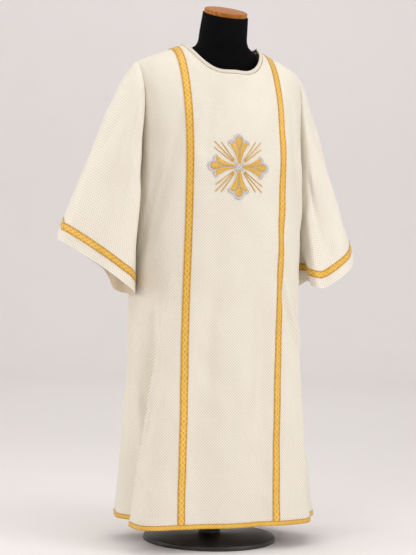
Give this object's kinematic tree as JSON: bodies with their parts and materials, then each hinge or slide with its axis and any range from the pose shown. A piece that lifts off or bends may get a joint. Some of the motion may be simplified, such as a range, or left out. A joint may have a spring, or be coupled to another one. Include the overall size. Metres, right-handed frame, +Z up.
{
  "type": "dalmatic on a dress form",
  "caption": "Wide-sleeved cream brocade dalmatic with gold galloons and an applique cross, worn by a limbless black dress form on a pole and a round foot.",
  "frame": {"origin": "centre of the foot's flat underside, on the floor", "axes": "+Z up along the pole; the garment's front faces -Y; the wearer's left is +X"},
  "size_m": [0.874, 0.3884, 1.4579],
  "materials": {
    "brocade": "satin brocade with a small diamond figure",
    "gold_galloon": "woven metallic gold braid",
    "applique": "gold and silver satin-stitched applique",
    "form_cloth": "matte black jersey",
    "honey_wood": "glossy honey-coloured varnish",
    "black_metal": "satin black paint"
  },
  "bodies": {
    "root": {"front_panel": "brocade", "back_panel": "brocade", "sleeve_right": "brocade", "sleeve_left": "brocade", "neck_binding": "brocade", "front_galloon_right": "gold_galloon", "front_galloon_left": "gold_galloon", "back_galloon_right": "gold_galloon", "back_galloon_left": "gold_galloon", "sleeve_galloon_right": "gold_galloon", "sleeve_galloon_left": "gold_galloon", "front_hem_galloon": "gold_galloon", "back_hem_galloon": "gold_galloon", "cross_applique": "applique", "form_torso": "form_cloth", "neck_cap": "honey_wood", "stand_pole": "black_metal", "stand_foot": "black_metal"}
  },
  "joints": []
}
